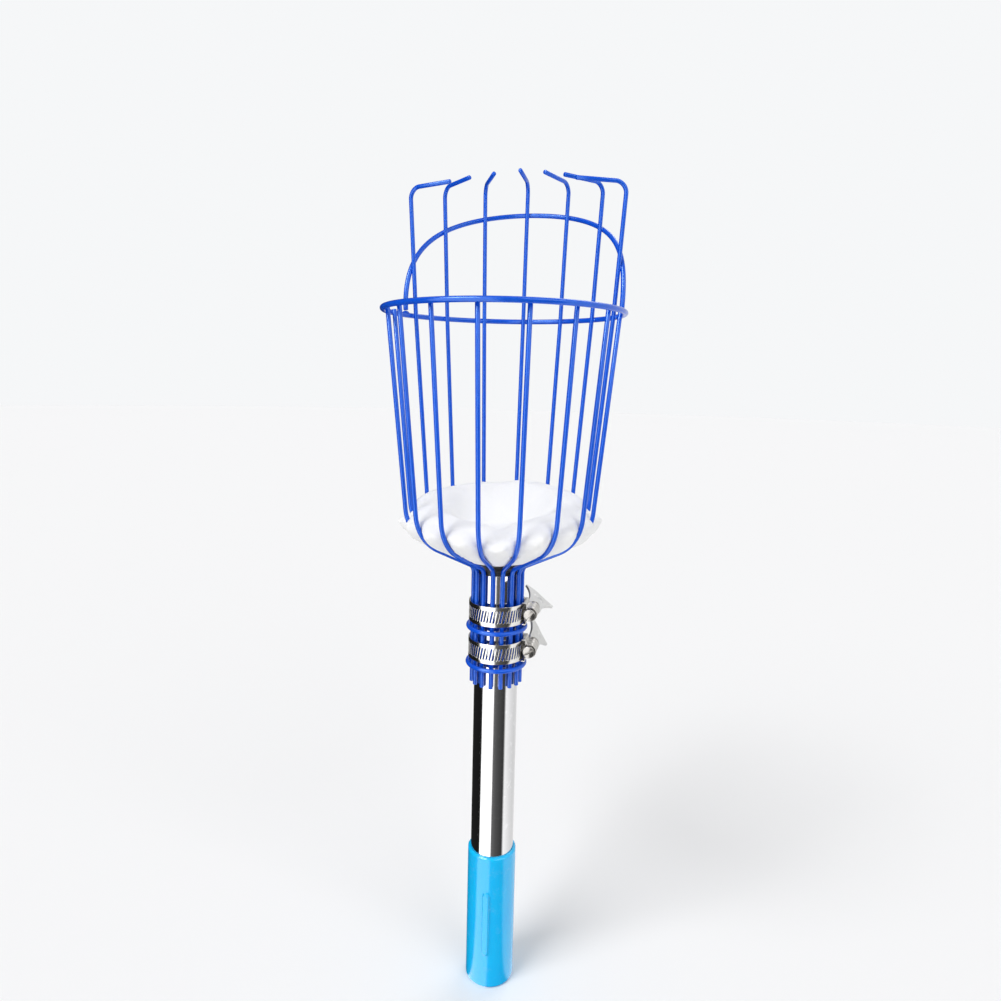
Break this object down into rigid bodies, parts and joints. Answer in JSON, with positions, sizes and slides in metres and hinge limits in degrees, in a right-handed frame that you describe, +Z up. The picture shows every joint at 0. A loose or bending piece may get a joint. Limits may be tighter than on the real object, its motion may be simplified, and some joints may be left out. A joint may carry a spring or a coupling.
{
  "type": "fruit picker basket",
  "caption": "Wire fruit-picking basket with curved tines, a back hoop, a soft dished pad and two wing-screw clamps that hold it on the top section of a sectional pole.",
  "frame": {"origin": "on the pole axis at the mouth of the coupling's lower socket", "axes": "+Z up the pole to the basket, +Y towards the picking tines at the back, -Y the low front of the rim, +X the side with the clamp screws"},
  "size_m": [0.15, 0.1548, 0.5379],
  "materials": {
    "cyan_plastic": "glossy moulded plastic, sky blue",
    "pole_steel": "polished stainless tube",
    "black_plastic": "matte black moulding",
    "blue_coated_wire": "glossy royal-blue powder coat on steel wire",
    "white_foam": "soft white foam",
    "clamp_steel": "bright rolled stainless strip",
    "screw_steel": "bright plated screw",
    "wing_steel": "matt grey pressed plate"
  },
  "bodies": {
    "coupling": {"coupling_sleeve": "cyan_plastic"},
    "pole": {"pole_tube": "pole_steel", "thread_plug": "black_plastic", "tube_end_cap": "black_plastic"},
    "basket": {"rim_ring": "blue_coated_wire", "back_arch": "blue_coated_wire", "upper_collar": "blue_coated_wire", "lower_collar": "blue_coated_wire", "cage_wire_1": "blue_coated_wire", "cage_wire_2": "blue_coated_wire", "cage_wire_3": "blue_coated_wire", "cage_wire_4": "blue_coated_wire", "cage_wire_5": "blue_coated_wire", "cage_wire_6": "blue_coated_wire", "cage_wire_7": "blue_coated_wire", "cage_wire_8": "blue_coated_wire", "cage_wire_9": "blue_coated_wire", "tine_1": "blue_coated_wire", "tine_2": "blue_coated_wire", "tine_3": "blue_coated_wire", "tine_4": "blue_coated_wire", "tine_5": "blue_coated_wire", "tine_6": "blue_coated_wire", "tine_7": "blue_coated_wire"},
    "pad": {"foam_pad": "white_foam"},
    "upper_clamp": {"upper_band": "clamp_steel", "upper_housing": "clamp_steel"},
    "upper_clamp_screw": {"upper_screw": "screw_steel", "upper_wing": "wing_steel", "upper_wing_rivet": "screw_steel"},
    "lower_clamp": {"lower_band": "clamp_steel", "lower_housing": "clamp_steel"},
    "lower_clamp_screw": {"lower_screw": "screw_steel", "lower_wing": "wing_steel", "lower_wing_rivet": "screw_steel"}
  },
  "joints": [
    {"name": "pole_unscrew", "type": "hinge", "parent": "coupling", "child": "pole", "pos_m": [0, 0, 0.046], "axis": [0, 0, 1], "range_deg": [0, 1620]},
    {"name": "basket_slide", "type": "slide", "parent": "pole", "child": "basket", "axis": [0, 0, 1], "range_m": [0, 0.09]},
    {"name": "pad_lift", "type": "slide", "parent": "basket", "child": "pad", "axis": [0, 0, 1], "range_m": [0, 0.11]},
    {"name": "upper_clamp_turn", "type": "hinge", "parent": "basket", "child": "upper_clamp", "pos_m": [0, 0, 0.254], "axis": [0, 0, 1], "continuous": true},
    {"name": "upper_screw_turn", "type": "hinge", "parent": "upper_clamp", "child": "upper_clamp_screw", "pos_m": [0.0222, 0, 0.254], "axis": [0, 1, 0], "continuous": true},
    {"name": "lower_clamp_turn", "type": "hinge", "parent": "basket", "child": "lower_clamp", "pos_m": [0, 0, 0.23], "axis": [0, 0, 1], "continuous": true},
    {"name": "lower_screw_turn", "type": "hinge", "parent": "lower_clamp", "child": "lower_clamp_screw", "pos_m": [0.0222, 0, 0.23], "axis": [0, 1, 0], "continuous": true}
  ]
}
